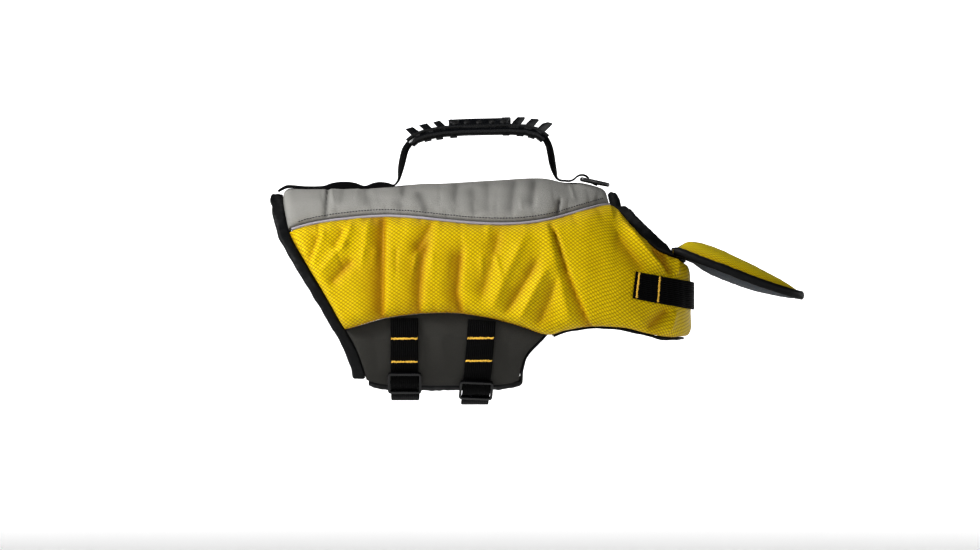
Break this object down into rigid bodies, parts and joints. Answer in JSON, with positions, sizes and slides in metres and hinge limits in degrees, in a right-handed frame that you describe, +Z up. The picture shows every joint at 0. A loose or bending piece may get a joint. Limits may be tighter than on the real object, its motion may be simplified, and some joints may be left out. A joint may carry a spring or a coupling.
{
  "type": "dog life jacket",
  "caption": "Padded dog life jacket with a rubber-gripped lifting handle, leash ring, chin float, chest strap and belly straps with slides and side-release buckles.",
  "frame": {"origin": "inner face of the back panel on the spine, where the wearer's back holds the jacket up, at the middle of the back's length", "axes": "+X along the spine towards the head, +Y to the wearer's left, +Z up"},
  "size_m": [0.4954, 0.1944, 0.2671],
  "materials": {
    "saddle_cloth": "woven nylon with a soft sheen",
    "side_cloth": "ripstop nylon with a soft sheen",
    "belly_cloth": "woven nylon, matte",
    "binding_tape": "grosgrain tape, satin",
    "piping_cord": "reflective piping",
    "webbing": "ribbed polyester webbing",
    "buckle_plastic": "fine grained acetal",
    "grip_rubber": "satin moulded rubber",
    "ring_metal": "black enamel on steel wire"
  },
  "bodies": {
    "jacket": {"back_panel": "saddle_cloth", "side_panel_right": "side_cloth", "side_panel_left": "side_cloth", "belly_panel_right": "belly_cloth", "belly_panel_left": "belly_cloth", "piping_right": "piping_cord", "piping_left": "piping_cord", "rear_binding": "binding_tape", "neck_binding": "binding_tape", "belly_binding_right": "binding_tape", "belly_binding_left": "binding_tape", "hem_binding_right": "binding_tape", "hem_binding_left": "binding_tape", "chin_float": "side_cloth", "float_binding": "binding_tape", "chest_strap": "webbing", "chest_strap_end": "webbing", "chest_buckle_socket": "buckle_plastic", "chest_buckle_prong": "buckle_plastic", "belly_strap_rear": "webbing", "belly_strap_front": "webbing", "slide_rear": "buckle_plastic", "slide_front": "buckle_plastic", "belly_buckle_rear_socket": "buckle_plastic", "belly_buckle_rear_prong": "buckle_plastic", "belly_buckle_front_socket": "buckle_plastic", "belly_buckle_front_prong": "buckle_plastic", "belly_strap_rear_end": "webbing", "belly_strap_front_end": "webbing", "back_webbing": "webbing", "handle_grip": "grip_rubber"},
    "ring": {"leash_ring": "ring_metal"}
  },
  "joints": [
    {"name": "ring_swing", "type": "hinge", "parent": "jacket", "child": "ring", "pos_m": [0.1283, 0, 0.0145], "axis": [0, -1, 0], "range_deg": [0, 130]}
  ]
}
